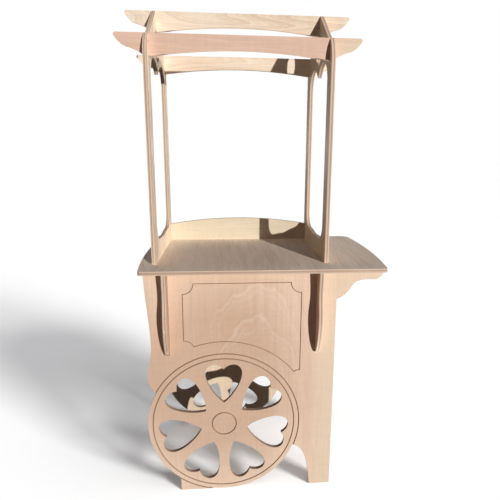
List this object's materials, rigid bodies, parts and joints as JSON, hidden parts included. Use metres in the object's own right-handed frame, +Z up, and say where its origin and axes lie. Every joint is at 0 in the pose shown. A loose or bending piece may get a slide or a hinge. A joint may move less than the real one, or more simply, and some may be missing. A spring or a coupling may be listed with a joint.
{
  "type": "vendor cart",
  "caption": "Slot-together plywood market cart: counter on a base with a heart-spoked wheel cut in each face, and two gabled uprights carrying open roof beams.",
  "frame": {"origin": "on the ground, below the middle of the bounding box", "axes": "+Z up; +Y from the customer's side to the seller's side; +X to the customer's right, towards the longer counter overhang"},
  "size_m": [0.9714, 0.606, 1.85],
  "materials": {
    "front_birch": "unfinished birch plywood, pinkish face veneer with upright grain, light and mid-brown ply edges",
    "cream_birch": "unfinished birch plywood, cream face veneer",
    "counter_birch": "birch plywood, grey-brown face with grain along the counter",
    "batten_pine": "planed pine, unfinished",
    "screw_zinc": "zinc-plated wood screw"
  },
  "bodies": {
    "root": {"front_panel": "front_birch", "back_panel": "cream_birch", "side_panel_left": "front_birch", "side_panel_right": "front_birch", "counter_top": "counter_birch", "upright_left": "front_birch", "upright_right": "front_birch", "back_board": "cream_birch", "roof_beam_front": "front_birch", "roof_beam_ridge": "cream_birch", "roof_beam_back": "cream_birch", "wedge_left_front": "front_birch", "wedge_left_back": "front_birch", "wedge_right_front": "front_birch", "wedge_right_back": "front_birch", "batten_front": "batten_pine", "batten_back": "batten_pine", "batten_left": "batten_pine", "batten_right": "batten_pine", "counter_screw_1": "screw_zinc", "counter_screw_2": "screw_zinc", "counter_screw_3": "screw_zinc", "counter_screw_4": "screw_zinc", "counter_screw_5": "screw_zinc", "counter_screw_6": "screw_zinc", "counter_screw_7": "screw_zinc", "counter_screw_8": "screw_zinc", "panel_screw_1": "screw_zinc", "panel_screw_2": "screw_zinc", "panel_screw_3": "screw_zinc", "panel_screw_4": "screw_zinc", "panel_screw_5": "screw_zinc", "panel_screw_6": "screw_zinc", "panel_screw_7": "screw_zinc", "panel_screw_8": "screw_zinc"}
  },
  "joints": []
}
